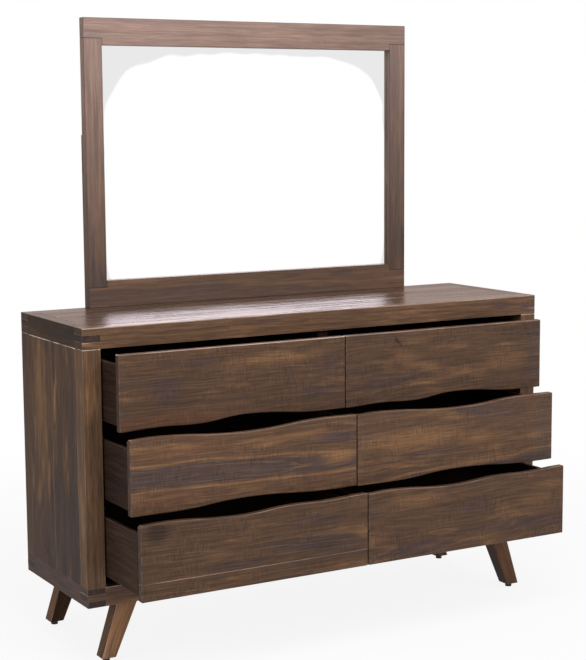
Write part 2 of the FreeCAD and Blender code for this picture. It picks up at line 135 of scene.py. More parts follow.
# %% The sky
# Strengths, where 1 shows as white, and the parts of a direction over which one turns into the
# next: from front to back, and behind the dresser from left to right.
ROOM_WHITE = 1.0
SKY_LIGHT = 0.5
BEHIND_LEFT, BEHIND_RIGHT = 0.42, 0.71
LEFT_TO_RIGHT = (-0.3, 0.3)
FRONT_TO_BACK = (-0.25, 0.45)
WHITE_TO_WARM = (-0.1, 0.4)
WARM = "#FFE9E1"

world = bpy.data.worlds.new("studio")
bpy.context.scene.world = world
world.use_nodes = True
sky = world.node_tree
sky.nodes.clear()
rays = add(sky, "ShaderNodeLightPath")
direction = add(sky, "ShaderNodeTexCoord")
toward = add(sky, "ShaderNodeSeparateXYZ", links={0: direction.outputs["Generated"]})
sideways = add(sky, "ShaderNodeMapRange",
               {"interpolation_type": "SMOOTHSTEP", "From Min": LEFT_TO_RIGHT[0],
                "From Max": LEFT_TO_RIGHT[1], "To Min": BEHIND_LEFT, "To Max": BEHIND_RIGHT},
               {"Value": toward.outputs["X"]})
behind = add(sky, "ShaderNodeMapRange",
             {"interpolation_type": "SMOOTHSTEP", "From Min": FRONT_TO_BACK[0],
              "From Max": FRONT_TO_BACK[1], "To Min": ROOM_WHITE},
             {"Value": toward.outputs["Y"], "To Max": sideways.outputs[0]})
seen = add(sky, "ShaderNodeMath", {"operation": "MAXIMUM"},
           {0: rays.outputs["Is Camera Ray"], 1: rays.outputs["Is Transmission Ray"]})
soft = add(sky, "ShaderNodeMix", {"data_type": "FLOAT", 2: SKY_LIGHT},
           {0: rays.outputs["Is Glossy Ray"], 3: behind.outputs["Result"]})
strength = add(sky, "ShaderNodeMix", {"data_type": "FLOAT", 3: ROOM_WHITE},
               {0: seen.outputs[0], 2: soft.outputs[0]})
around = add(sky, "ShaderNodeMapRange",
             {"From Min": WHITE_TO_WARM[0], "From Max": WHITE_TO_WARM[1]},
             {"Value": toward.outputs["Y"]})
warmth = add(sky, "ShaderNodeMath", {"operation": "MULTIPLY"},
             {0: around.outputs[0], 1: rays.outputs["Is Glossy Ray"]})
tone = add(sky, "ShaderNodeMix", {"data_type": "RGBA", 6: linear("#FFFFFF"), 7: linear(WARM)},
           {0: warmth.outputs[0]})
glow = add(sky, "ShaderNodeBackground",
           links={"Color": tone.outputs[2], "Strength": strength.outputs[0]})
add(sky, "ShaderNodeOutputWorld", links={"Surface": glow.outputs[0]})
print("sky: white in front, strength", BEHIND_LEFT, "to", BEHIND_RIGHT, "behind")

# %% [markdown]
# The floor is matt paint to the light, so it gathers the dresser's shadow. The camera sees it
# mostly as plain white, which leaves that shadow faint, and further out as white alone. Polish
# sees it darken towards the back.

# %% The floor
# Lengths in metres. The shadow fades out between its reach and its end.
FLOOR_SIZE = 14.0
FLOOR_WHITENESS = 0.88
FLOOR_BEHIND = 0.45
FLOOR_TO_BACK = (-1.5, 0.5)
SHADOW_REACH = 1.1
SHADOW_END = 3.0

floor_paint, tree = new_material("floor_matt_paint")
rays = add(tree, "ShaderNodeLightPath")
matt = add(tree, "ShaderNodeBsdfDiffuse", {"Color": linear("#F4F4F4")})
spot = add(tree, "ShaderNodeTexCoord")
split = add(tree, "ShaderNodeSeparateXYZ", links={0: spot.outputs["Object"]})
back = add(tree, "ShaderNodeMapRange",
           {"interpolation_type": "SMOOTHSTEP", "From Min": FLOOR_TO_BACK[0],
            "From Max": FLOOR_TO_BACK[1], "To Min": ROOM_WHITE, "To Max": FLOOR_BEHIND},
           {"Value": split.outputs["Y"]})
paper = add(tree, "ShaderNodeEmission", {"Color": linear("#FFFFFF")})
room = add(tree, "ShaderNodeEmission", {"Color": linear("#FFFFFF")},
           {"Strength": back.outputs[0]})
far = add(tree, "ShaderNodeVectorMath", {"operation": "LENGTH"}, {0: spot.outputs["Object"]})
fade = add(tree, "ShaderNodeMapRange",
           {"interpolation_type": "SMOOTHSTEP", "From Min": SHADOW_REACH, "From Max": SHADOW_END,
            "To Min": FLOOR_WHITENESS, "To Max": ROOM_WHITE}, {"Value": far.outputs["Value"]})
seen = add(tree, "ShaderNodeMath", {"operation": "MAXIMUM"},
           {0: rays.outputs["Is Camera Ray"], 1: rays.outputs["Is Transmission Ray"]})
white = add(tree, "ShaderNodeMath", {"operation": "MULTIPLY"},
            {0: seen.outputs[0], 1: fade.outputs[0]})
eye = add(tree, "ShaderNodeMixShader",
          links={0: white.outputs[0], 1: matt.outputs[0], 2: paper.outputs[0]})
choice = add(tree, "ShaderNodeMixShader",
             links={0: rays.outputs["Is Glossy Ray"], 1: eye.outputs[0], 2: room.outputs[0]})
add(tree, "ShaderNodeOutputMaterial", links={"Surface": choice.outputs[0]})
bpy.ops.mesh.primitive_plane_add(size=FLOOR_SIZE)
floor = bpy.context.object
floor.name = "floor"
floor.data.materials.append(floor_paint)
print("floor:", FLOOR_SIZE, "m square")

# %% [markdown]
# Three large soft lamps light the wood: one in front at the right, one at the left, and one
# overhead that lights every upper edge, where a pale line is also painted.

# %% The lamps
CASE_CENTRE = Vector((0, 0.1, 0.7))


def lamp(name, place, size, watts, tone="#FFFFFF"):
    """A square soft lamp, size metres wide, at a place and turned to the case."""
    light = bpy.data.lights.new(name, "AREA")
    light.color = linear(tone)[:3]
    light.size = size
    light.energy = watts
    item = bpy.data.objects.new(name, light)
    item.location = place
    item.rotation_euler = (CASE_CENTRE - Vector(place)).to_track_quat("-Z", "Y").to_euler()
    bpy.context.scene.collection.objects.link(item)


lamp("front_lamp", (2.6, -4.3, 3.62), size=2.4, watts=98, tone="#FFF1FC")
lamp("side_lamp", (-4.6, -1.4, 2.0), size=2.2, watts=50)
lamp("overhead_lamp", (-0.6, -1.6, 3.5), size=1.5, watts=45)
print("room: floor, sky and three lamps")

# %% [markdown]
# ## Walnut-stained pine
# The boards are solid pine, sawn, sanded lightly, stained dark walnut and sprayed with satin
# lacquer. The eye reads four things in it: growth rings that run into long arches where the saw
# cut near the heart, a greyer plum heart with an ochre rim, fine fibres, and the faint marks
# that the band saw left across the grain. Each board is thought of as cut from its own log:
# every point of it knows how far it lies along the log and from its centre, so that rings,
# faces and end grain agree in all three directions. Those places are written on the boards'
# meshes further down, in millimetres, and the material reads them.

# %% The wood's measures, in millimetres
# Real rings are 2 to 6 wide, fibres well under 1 and saw ribs about 1 apart. All three would be
# too fine to see from here, so they are drawn as coarse as they need to be.
RING_WIDTH = 8.0
FIBRE_WIDTH = 3.2
SAW_STEP = 2.8
SAW_HEIGHT = 22.0
HEART_RADIUS = 34.0
# Nearly all of a noise lies between the first two values, and most of it between the others.
NOISE_LOW, NOISE_HIGH = 0.3, 0.7
NOISE_CORE = (0.38, 0.62)


def scaled(tree, vector, steps):
    """The vector measured in steps, given in millimetres along, across and deep."""
    return add(tree, "ShaderNodeVectorMath",
               {"operation": "MULTIPLY", 1: [1 / step for step in steps]},
               {0: vector}).outputs[0]


# %% [markdown]
# ### A crooked log
# No log grows straight. A slow noise pushes the rings to and fro by some 12 mm, and the streaks
# in the board by half as much.

# %% A crooked log
DRIFT_STEPS = (260, 70, 70)
DRIFT = 30


def crooked_grain(tree):
    """A point's place in its board, its place in the crooked log, and its place in the board
    after a push of half as much."""
    place = add(tree, "ShaderNodeAttribute", {"attribute_name": "place"}).outputs["Vector"]
    log = add(tree, "ShaderNodeAttribute", {"attribute_name": "log"}).outputs["Vector"]
    drift = add(tree, "ShaderNodeTexNoise", {"Scale": 1.0, "Detail": 2.5},
                {"Vector": scaled(tree, place, DRIFT_STEPS)})
    push = add(tree, "ShaderNodeVectorMath",
               {"operation": "MULTIPLY_ADD", 1: (0, DRIFT, DRIFT), 2: (0, -DRIFT / 2, -DRIFT / 2)},
               {0: drift.outputs["Color"]})
    crooked = add(tree, "ShaderNodeVectorMath", {"operation": "ADD"},
                  {0: log, 1: push.outputs[0]})
    bent = add(tree, "ShaderNodeVectorMath",
               {"operation": "MULTIPLY_ADD", 1: (0.5, 0.5, 0.5)},
               {0: push.outputs[0], 2: place})
    return place, crooked.outputs[0], bent.outputs[0]


# %% [markdown]
# ### The stain and the heart
# The stain takes unevenly: plum where it lies thick, ochre where it is thin. The heart of the
# log is plum too, as far as its own crooked radius, and ochre just outside that.

# %% The stain and the heart
BLOTCH_STEPS = (230, 46, 46)
ALL_PLUM, BROWN_FROM, BROWN_TO, ALL_OCHRE = 0.3, 0.43, 0.55, 0.72
HEART_FADES = 0.82
RIM_CENTRE = HEART_RADIUS + 3
RIM_HALF = 6.0
HEART_STRENGTH = 0.85


def walnut_stain(tree, bent, brown, ochre, plum):
    """The blotches' noise, and the stain's colour that follows it."""
    blotch = add(tree, "ShaderNodeTexNoise", {"Scale": 1.0, "Detail": 3.5, "Roughness": 0.6},
                 {"Vector": scaled(tree, bent, BLOTCH_STEPS)})
    stain = add(tree, "ShaderNodeValToRGB", links={0: blotch.outputs[0]})
    stops = stain.color_ramp.elements
    stops[0].position = ALL_PLUM
    stops[0].color = plum
    stops[1].position = ALL_OCHRE
    stops[1].color = ochre
    stops.new(BROWN_FROM).color = brown
    stops.new(BROWN_TO).color = brown
    return blotch.outputs[0], stain.outputs[0]


def heart_and_rim(tree, crooked, colour, rings, ochre, plum):
    """The distance from the log's centre, and the colour with the heart and its rim in it."""
    apart = add(tree, "ShaderNodeSeparateXYZ", links={0: crooked})
    flat = add(tree, "ShaderNodeCombineXYZ",
               links={0: apart.outputs["Y"], 1: apart.outputs["Z"]})
    radius = add(tree, "ShaderNodeVectorMath", {"operation": "LENGTH"},
                 {0: flat.outputs[0]}).outputs["Value"]
    heart = add(tree, "ShaderNodeMapRange",
                {"interpolation_type": "SMOOTHSTEP", "From Min": HEART_RADIUS * HEART_FADES,
                 "From Max": HEART_RADIUS, "To Min": HEART_STRENGTH * rings, "To Max": 0.0},
                {"Value": radius})
    colour = add(tree, "ShaderNodeMix", {"data_type": "RGBA", 7: plum},
                 {0: heart.outputs[0], 6: colour}).outputs[2]
    past = add(tree, "ShaderNodeMath", {"operation": "SUBTRACT", 1: RIM_CENTRE}, {0: radius})
    off_rim = add(tree, "ShaderNodeMath", {"operation": "ABSOLUTE"}, {0: past.outputs[0]})
    bark_side = add(tree, "ShaderNodeMapRange",
                    {"interpolation_type": "SMOOTHSTEP", "From Min": 0.0, "From Max": RIM_HALF,
                     "To Min": HEART_STRENGTH * rings, "To Max": 0.0},
                    {"Value": off_rim.outputs[0]})
    colour = add(tree, "ShaderNodeMix", {"data_type": "RGBA", 7: ochre},
                 {0: bark_side.outputs[0], 6: colour}).outputs[2]
    return radius, colour


# %% [markdown]
# ### Patches and rings
# Some boards are known by a few patches, each a soft ellipse with ragged ends. Then come the
# rings: late wood is hard and takes little stain, so each ring ends in a thin pale line.

# %% Patches and rings
RAGGED = 1.6
PATCH_EDGE = (1.1, 1.95)
RING_STRENGTH = 0.6
LATE_STARTS, LATE_FULL = 0.62, 0.86
YEARS_DIFFER = 1.6


def patches(tree, bent, blotch, colour, marks):
    """Lays a board's own patches over its colour."""
    for along, across, half_length, half_height, slant, strength, tone in marks:
        away = add(tree, "ShaderNodeVectorMath",
                   {"operation": "SUBTRACT", 1: (along, across, 0)}, {0: bent})
        turned = add(tree, "ShaderNodeVectorRotate",
                     {"rotation_type": "Z_AXIS", "Angle": -math.radians(slant)},
                     {"Vector": away.outputs[0]})
        rest = add(tree, "ShaderNodeVectorMath",
                   {"operation": "MULTIPLY", 1: (1 / half_length, 1 / half_height, 0)},
                   {0: turned.outputs[0]})
        far = add(tree, "ShaderNodeVectorMath", {"operation": "LENGTH"}, {0: rest.outputs[0]})
        ragged = add(tree, "ShaderNodeMath", {"operation": "MULTIPLY_ADD", 1: RAGGED},
                     {0: blotch, 2: far.outputs["Value"]})
        patch = add(tree, "ShaderNodeMapRange",
                    {"interpolation_type": "SMOOTHSTEP", "From Min": PATCH_EDGE[0],
                     "From Max": PATCH_EDGE[1], "To Min": strength, "To Max": 0.0},
                    {"Value": ragged.outputs[0]})
        colour = add(tree, "ShaderNodeMix", {"data_type": "RGBA", 7: linear(tone)},
                     {0: patch.outputs[0], 6: colour}).outputs[2]
    return colour


def late_wood(tree, radius, colour, rings, ochre):
    """Draws the pale end of each ring, stronger in some years than in others."""
    count = add(tree, "ShaderNodeMath", {"operation": "DIVIDE", 1: RING_WIDTH}, {0: radius})
    part = add(tree, "ShaderNodeMath", {"operation": "FRACT"}, {0: count.outputs[0]})
    whole = add(tree, "ShaderNodeMath", {"operation": "FLOOR"}, {0: count.outputs[0]})
    year = add(tree, "ShaderNodeTexWhiteNoise", {"noise_dimensions": "1D"},
               {"W": whole.outputs[0]})
    good_year = add(tree, "ShaderNodeMath", {"operation": "POWER", 1: YEARS_DIFFER},
                    {0: year.outputs[0]})
    late = add(tree, "ShaderNodeValToRGB", links={0: part.outputs[0]})
    stops = late.color_ramp.elements
    stops[0].position = LATE_STARTS
    stops[0].color = linear("#000000")
    stops[1].position = LATE_FULL
    stops[1].color = linear("#FFFFFF")
    stops.new(1.0).color = linear("#000000")
    ring = add(tree, "ShaderNodeMath", {"operation": "MULTIPLY"},
               {0: late.outputs[0], 1: good_year.outputs[0]})
    pale_ring = add(tree, "ShaderNodeMath", {"operation": "MULTIPLY", 1: RING_STRENGTH * rings},
                    {0: ring.outputs[0]})
    return add(tree, "ShaderNodeMix", {"data_type": "RGBA", 7: ochre},
               {0: pale_ring.outputs[0], 6: colour}).outputs[2]


# %% [markdown]
# ### Streaks, saw marks and knots
# These make the colour lighter and darker rather than change it, so each gives a tone near 1
# that the colour is multiplied by. The band saw leaves ribs across the grain, which stay where
# sanding has not reached them. Small knots are rare: few cells of a coarse net hold one.

# %% Streaks, saw marks and knots
STREAK_LENGTH, FIBRE_LENGTH = 300, 90
SANDED_STEPS = (95, 40, 40)
SANDED = (0.42, 0.62)
SANDED_LEAVES = 0.2
KNOT_STEPS = (210, 90, 90)
KNOT_RARE = 0.95
KNOT_EDGE = (0.02, 0.09)
KNOT_DARK = 0.55


def streaks_and_fibres(tree, bent, streaks, broad, fibres):
    """The noises of the streaks and the fibres, and the tone of each."""
    streak = add(tree, "ShaderNodeTexNoise", {"Scale": 1.0, "Detail": 3.0, "Roughness": 0.6},
                 {"Vector": scaled(tree, bent, (STREAK_LENGTH, broad, broad))})
    streak_tone = add(tree, "ShaderNodeMapRange",
                      {"From Min": NOISE_LOW, "From Max": NOISE_HIGH, "To Min": 1 - streaks,
                       "To Max": 1 + streaks}, {"Value": streak.outputs[0]})
    fibre = add(tree, "ShaderNodeTexNoise", {"Scale": 1.0, "Detail": 2.0, "Roughness": 0.6},
                {"Vector": scaled(tree, bent, (FIBRE_LENGTH, FIBRE_WIDTH, FIBRE_WIDTH))})
    fibre_tone = add(tree, "ShaderNodeMapRange",
                     {"From Min": NOISE_LOW, "From Max": NOISE_HIGH, "To Min": 1 - fibres,
                      "To Max": 1 + fibres}, {"Value": fibre.outputs[0]})
    return streak.outputs[0], fibre.outputs[0], streak_tone.outputs[0], fibre_tone.outputs[0]


def saw_marks(tree, place, saw):
    """The height of the saw's ribs, around 0, and their tone."""
    ribs = add(tree, "ShaderNodeTexNoise", {"Scale": 1.0, "Detail": 1.0},
               {"Vector": scaled(tree, place, (SAW_STEP, SAW_HEIGHT, SAW_HEIGHT))})
    reach = add(tree, "ShaderNodeTexNoise", {"Scale": 1.0, "Detail": 3.0},
                {"Vector": scaled(tree, place, SANDED_STEPS)})
    force = add(tree, "ShaderNodeMapRange",
                {"interpolation_type": "SMOOTHSTEP", "From Min": SANDED[0],
                 "From Max": SANDED[1], "To Min": SANDED_LEAVES * saw, "To Max": saw},
                {"Value": reach.outputs[0]})
    rib = add(tree, "ShaderNodeMath", {"operation": "SUBTRACT", 1: 0.5}, {0: ribs.outputs[0]})
    cuts = add(tree, "ShaderNodeMath", {"operation": "MULTIPLY"},
               {0: rib.outputs[0], 1: force.outputs[0]})
    cut_tone = add(tree, "ShaderNodeMath", {"operation": "ADD", 1: 1.0}, {0: cuts.outputs[0]})
    return cuts.outputs[0], cut_tone.outputs[0]


def small_knots(tree, bent, knots):
    """The tone of the knots, from 0 for none to 1 for full ones."""
    cell = add(tree, "ShaderNodeTexVoronoi", {"voronoi_dimensions": "2D", "Scale": 1.0},
               {"Vector": scaled(tree, bent, KNOT_STEPS)})
    draw = add(tree, "ShaderNodeSeparateColor", links={0: cell.outputs["Color"]})
    holds = add(tree, "ShaderNodeMath", {"operation": "GREATER_THAN", 1: KNOT_RARE},
                {0: draw.outputs[0]})
    core = add(tree, "ShaderNodeMapRange",
               {"interpolation_type": "SMOOTHSTEP", "From Min": KNOT_EDGE[0],
                "From Max": KNOT_EDGE[1], "To Min": KNOT_DARK * knots, "To Max": 0.0},
               {"Value": cell.outputs["Distance"]})
    knot = add(tree, "ShaderNodeMath", {"operation": "MULTIPLY"},
               {0: core.outputs[0], 1: holds.outputs[0]})
    return add(tree, "ShaderNodeMath", {"operation": "SUBTRACT", 0: 1.0},
               {1: knot.outputs[0]}).outputs[0]


# %% [markdown]
# ### The whole finish
# End grain drinks the stain and turns plum. Edges are painted pale, partly for wear and partly as
# a painted highlight, more in some places than in others, and the lacquer lies fuller in some
# streaks. Fibres, streaks and saw ribs also stand up a little, for the light to catch.

# %% The whole finish
END_DRINKS = 0.65
END_DARK = 0.95
# The least share of a rim's pale paint, wear and painted highlight, that the streaks leave.
RUBBED_AND_LIT_LEAST = 0.2
PATCHY = 0.06
RIB_RELIEF, STREAK_RELIEF = 1.2, 0.2


def stained_pine(name, tones, saw, roughness=0.42, gloss=0.22, rings=1.0, marks=(), lift=None,
                 ripple=0.0003, streaks=0.3, broad=9, fibres=0.3, knots=1.0):
    """Pine with a walnut stain: tones are its brown, ochre and plum, and the colour painted on its
    rims, which is pale for wear and a painted highlight, and dark on the mirror's frame, where it
    draws the joints. saw, rings, streaks, fibres and knots say how strongly each shows, broad is a
    streak's width and ripple its relief in metres, and lift changes the colour at the end."""
    brown, ochre, plum, pale = (linear(tone) for tone in tones)
    material, tree = new_material(name)
    place, crooked, bent = crooked_grain(tree)
    end, rim, tint = (add(tree, "ShaderNodeAttribute", {"attribute_name": label}).outputs["Fac"]
                      for label in ("end_grain", "rim", "tint"))
    blotch, colour = walnut_stain(tree, bent, brown, ochre, plum)
    radius, colour = heart_and_rim(tree, crooked, colour, rings, ochre, plum)
    colour = patches(tree, bent, blotch, colour, marks)
    colour = late_wood(tree, radius, colour, rings, ochre)
    streak, fibre, streak_tone, fibre_tone = streaks_and_fibres(tree, bent, streaks, broad,
                                                                fibres)
    cuts, cut_tone = saw_marks(tree, place, saw)
    knot_tone = small_knots(tree, bent, knots)
    drunk = add(tree, "ShaderNodeMath", {"operation": "MULTIPLY", 1: END_DRINKS}, {0: end})
    colour = add(tree, "ShaderNodeMix", {"data_type": "RGBA", 7: plum},
                 {0: drunk.outputs[0], 6: colour}).outputs[2]
    end_tone = add(tree, "ShaderNodeMapRange", {"To Min": 1.0, "To Max": END_DARK},
                   {"Value": end})
    if lift:
        colour = lift(tree, colour)
    shade = tint
    for tone in (streak_tone, fibre_tone, cut_tone, knot_tone, end_tone.outputs[0]):
        shade = add(tree, "ShaderNodeMath", {"operation": "MULTIPLY"},
                    {0: shade, 1: tone}).outputs[0]
    colour = add(tree, "ShaderNodeVectorMath", {"operation": "SCALE"},
                 {0: colour, "Scale": shade}).outputs[0]
    # The rims take the pale colour: wear, and a painted highlight where the edges catch the light.
    uneven = add(tree, "ShaderNodeMapRange",
                 {"From Min": NOISE_CORE[0], "From Max": NOISE_CORE[1],
                  "To Min": RUBBED_AND_LIT_LEAST, "To Max": 1.0}, {"Value": streak})
    rubbed_and_lit = add(tree, "ShaderNodeMath", {"operation": "MULTIPLY"},
                 {0: rim, 1: uneven.outputs[0]})
    colour = add(tree, "ShaderNodeMix", {"data_type": "RGBA", 7: pale},
                 {0: rubbed_and_lit.outputs[0], 6: colour}).outputs[2]
    sheen = add(tree, "ShaderNodeMapRange",
                {"From Min": NOISE_CORE[0], "From Max": NOISE_CORE[1],
                 "To Min": roughness - PATCHY, "To Max": roughness + PATCHY}, {"Value": streak})
    relief = add(tree, "ShaderNodeMath", {"operation": "MULTIPLY_ADD", 1: RIB_RELIEF},
                 {0: cuts, 2: fibre})
    relief = add(tree, "ShaderNodeMath", {"operation": "MULTIPLY_ADD", 1: STREAK_RELIEF},
                 {0: relief.outputs[0], 2: streak})
    bump = add(tree, "ShaderNodeBump", {"Strength": 1.0, "Distance": ripple},
               {"Height": relief.outputs[0]})
    shader = add(tree, "ShaderNodeBsdfPrincipled", {"IOR": 1.5, "Specular IOR Level": gloss},
                 {"Base Color": colour, "Roughness": sheen.outputs[0],
                  "Normal": bump.outputs[0]})
    add(tree, "ShaderNodeOutputMaterial", links={"Surface": shader.outputs[0]})
    return material


# %% [markdown]
# ## The patches of each board
# Each front is known by a few patches: how far along from its left end and above its middle,
# half its length and height in millimetres, its slant in degrees, how strong, and its colour.
# All six fronts share one finish, so each starts a metre further along one long log.

# %% The patches of each board
PLUM, OCHRE, UMBER, RUSSET, GREY = "#40312F", "#735436", "#241812", "#66422D", "#453A34"
FRONT_STEP = 1000
FRONT_MARKS = {
    "top_left": [(140, 0, 60, 48, 0, 0.75, PLUM), (600, -45, 80, 30, 0, 0.7, PLUM),
                 (480, 58, 190, 22, 2, 0.6, OCHRE), (180, -80, 240, 22, 0, 0.55, RUSSET),
                 (650, 30, 60, 40, 0, 0.45, PLUM)],
    "top_right": [(176, 76, 30, 7, -50, 0.85, UMBER), (652, 70, 34, 8, -62, 0.5, UMBER),
                  (160, -42, 150, 26, 3, 0.55, PLUM), (570, -10, 110, 36, 0, 0.5, OCHRE),
                  (672, 20, 34, 110, 0, 0.6, GREY), (190, 38, 50, 16, 0, 0.4, RUSSET)],
    "middle_left": [(630, -8, 70, 26, 0, 0.75, OCHRE), (150, 62, 160, 22, 0, 0.4, RUSSET),
                    (480, 62, 160, 14, 4, 0.4, OCHRE), (655, -5, 7, 5, 0, 0.45, RUSSET),
                    (618, 12, 6, 5, 0, 0.45, RUSSET), (120, -70, 150, 20, 0, 0.4, RUSSET)],
    "middle_right": [(400, 78, 120, 20, 0, 0.75, PLUM), (190, 12, 190, 34, 0, 0.75, OCHRE),
                     (250, -30, 170, 8, 2, 0.7, PLUM), (668, 0, 38, 110, 0, 0.6, GREY),
                     (430, -5, 100, 26, 0, 0.5, OCHRE)],
    "bottom_left": [(50, 54, 46, 38, 0, 0.8, UMBER), (400, -84, 44, 24, 0, 0.7, PLUM),
                    (560, -36, 180, 28, 0, 0.75, PLUM), (300, -66, 130, 20, 0, 0.6, PLUM),
                    (640, 78, 9, 7, -30, 0.85, UMBER), (120, -88, 150, 16, 0, 0.6, RUSSET)],
    "bottom_right": [(150, 66, 120, 28, 0, 0.6, OCHRE), (150, -80, 190, 22, 0, 0.75, PLUM),
                     (560, -55, 160, 24, 0, 0.65, PLUM), (380, 30, 70, 22, 0, 0.5, PLUM),
                     (600, 20, 70, 30, 0, 0.4, OCHRE)],
}
front_marks = [(along + FRONT_STEP * number, across, *rest)
               for number, marks in enumerate(FRONT_MARKS.values())
               for along, across, *rest in marks]
# The side panels' front and back boards, a metre apart, and the rails under them, which are
# plum all over.
SIDE_MARKS = [(60, 0, 260, 300, 0, 0.6, PLUM), (380, -62, 460, 30, 0, 0.5, PLUM),
              (1040, 0, 300, 300, 0, 0.6, PLUM), (1440, 0, 240, 60, 0, 0.6, OCHRE)]
RAIL_MARKS = [(3150, 0, 500, 300, 0, 0.85, "#4E3D3A")]
print("patches:", len(front_marks), "on the fronts")

# %% [markdown]
# A haze of flare is painted on the mirror's frame: its upper part is made a paler mauve, most of
# all along the top rail.

# %% The mirror frame's painted flare
FLARE_HAZE = "#6F605C"
FLARE_RISES = (0.95, 1.8)
FLARE_LEANS = -0.2
FLARE_POWER = 1.6


def flare(tree, colour):
    """Adds the painted flare to a colour, by height in metres, and sooner towards the left."""
    spot = add(tree, "ShaderNodeTexCoord")
    split = add(tree, "ShaderNodeSeparateXYZ", links={0: spot.outputs["Object"]})
    left = add(tree, "ShaderNodeMath", {"operation": "MULTIPLY_ADD", 1: FLARE_LEANS},
               {0: split.outputs["X"], 2: split.outputs["Z"]})
    height = add(tree, "ShaderNodeMapRange",
                 {"From Min": FLARE_RISES[0], "From Max": FLARE_RISES[1]},
                 {"Value": left.outputs[0]})
    rise = add(tree, "ShaderNodeMath", {"operation": "POWER", 1: FLARE_POWER},
               {0: height.outputs[0]})
    return add(tree, "ShaderNodeMix",
               {"data_type": "RGBA", "blend_type": "ADD", 7: linear(FLARE_HAZE)},
               {0: rise.outputs[0], 6: colour}).outputs[2]


# %% [markdown]
# ## The finishes
# One recipe gives seven finishes. The fronts keep most of their saw marks, the case and legs are
# planed, the top is polished, and the drawers' boxes are dull and darker, with painted shade.

# %% The finishes
FRONT_TONES = ("#4F3928", "#6F5136", "#40332F", "#C9AE9C")
CASE_TONES = ("#4D3A2B", "#654B36", "#3B2F2C", "#D6BFAD")
LEG_TONES = ("#563E2B", "#6F5036", "#40312B", "#D6BFAD")
SIDE_TONES = ("#4D3829", "#7A5836", "#322628", "#D6BFAD")
TOP_TONES = ("#4E3828", "#654932", "#3B2D2A", "#D6BFAD")
# The boxes' dark tones paint the shade inside the case.
BOX_SHADE_TONES = ("#2A1D16", "#36261B", "#231A17", "#6B564B")
FRAME_TONES = ("#5A4535", "#6C523F", "#463B39", "#2A1C16")

sawn_fronts = stained_pine("walnut_stained_pine_sawn", FRONT_TONES, saw=1.3, marks=front_marks,
                           knots=0.0, streaks=0.2, fibres=0.32)
planed_case = stained_pine("walnut_stained_pine_planed", CASE_TONES, saw=0.3, gloss=0.1,
                           rings=0.5, streaks=0.24, marks=RAIL_MARKS)
leg_stock = stained_pine("walnut_stained_pine_leg", LEG_TONES, saw=0.3, gloss=0.1, rings=0.5,
                         streaks=0.24)
side_boards = stained_pine("walnut_stained_pine_side", SIDE_TONES, saw=0.2, gloss=0.12,
                           rings=0.4, streaks=0.55, broad=32, fibres=0.35, marks=SIDE_MARKS)
polished_top = stained_pine("walnut_stained_pine_polished", TOP_TONES, saw=0.15, roughness=0.29,
                            gloss=0.8, rings=0.5, ripple=0.0004, broad=24, streaks=0.2)
box_wood_in_painted_shade = stained_pine("walnut_stained_pine_drawer_box_painted_shade", BOX_SHADE_TONES, saw=0.2, roughness=0.6,
                           gloss=0.12, rings=0.5)
mirror_wood = stained_pine("walnut_stained_pine_mirror_frame", FRAME_TONES, saw=0.2, rings=0.5,
                           lift=flare, ripple=0.00012, fibres=0.18, streaks=0.2, knots=0.0)
print("wood: seven finishes")

# %% [markdown]
# ## Boards
# A board starts from the solid of its node. Its flat faces are joined up again, it is sawn into
# the pieces that were glued together, and every sharp edge is eased with a small round, which is
# what catches the light and draws the joints as fine lines. Some upper edges are rounded wider and
# painted pale, for wear and as a painted highlight, and such an edge is called a brow here.

# %% From a node to its solids
# Lengths in metres.
WELD = 1e-5
FLAT = math.radians(0.5)
SAME_PLACE = 1e-6
GLUE_LINE = 0.0001


def unit(axis):
    """The unit vector along x, y or z."""
    return Vector([1.0 if index == axis else 0.0 for index in range(3)])


def solid_of(node):
    """The node's mesh with its flat faces joined up, as a bmesh."""
    work = bmesh.new()
    work.from_mesh(frame["nodes"][node].data)
    bmesh.ops.remove_doubles(work, verts=work.verts, dist=WELD)
    bmesh.ops.dissolve_limit(work, angle_limit=FLAT, verts=work.verts, edges=work.edges)
    return work


def islands(work):
    """The separate solids in a bmesh, as lists of vertices, from left to right and back."""
    left, found = set(work.verts), []
    while left:
        reach, group = [left.pop()], []
        while reach:
            vertex = reach.pop()
            group.append(vertex)
            for edge in vertex.link_edges:
                other = edge.other_vert(vertex)
                if other in left:
                    left.remove(other)
                    reach.append(other)
        found.append(group)
    return sorted(found, key=lambda group: tuple(round(min(v.co[axis] for v in group), 4)
                                                 for axis in (0, 1, 2)))


def one_solid(source, group):
    """A copy of one solid of the source."""
    work = source.copy()
    keep = {vertex.index for vertex in group}
    work.verts.ensure_lookup_table()
    bmesh.ops.delete(work, geom=[vertex for vertex in work.verts if vertex.index not in keep],
                     context="VERTS")
    return work


def slice_at(work, axis, place):
    """Saws every solid in the bmesh across at a place, closes the cut faces and leaves a line
    of glue between them."""
    normal = unit(axis)
    geometry = work.verts[:] + work.edges[:] + work.faces[:]
    result = bmesh.ops.bisect_plane(work, geom=geometry, plane_co=normal * place,
                                    plane_no=normal)
    rim = [item for item in result["geom_cut"] if isinstance(item, bmesh.types.BMEdge)]
    bmesh.ops.split_edges(work, edges=rim)
    bmesh.ops.holes_fill(work, edges=[edge for edge in work.edges if edge.is_boundary])
    for vertex in [vertex for vertex in work.verts
                   if abs(vertex.co[axis] - place) < SAME_PLACE]:
        side = sum(face.calc_center_median()[axis] - place for face in vertex.link_faces)
        vertex.co += normal * math.copysign(GLUE_LINE / 2, side)


# %% Eased edges
# A brow: the side it looks to, its width in metres, and how pale it is painted, for wear and as a
# painted highlight.
Brow = namedtuple("Brow", "side width worn")
EASE = 0.0009
BROW_LENGTH = 0.03
SHARP = math.radians(22)
SQUARE_ON = 0.99
BROW_STEPS, EASE_STEPS = 5, 3


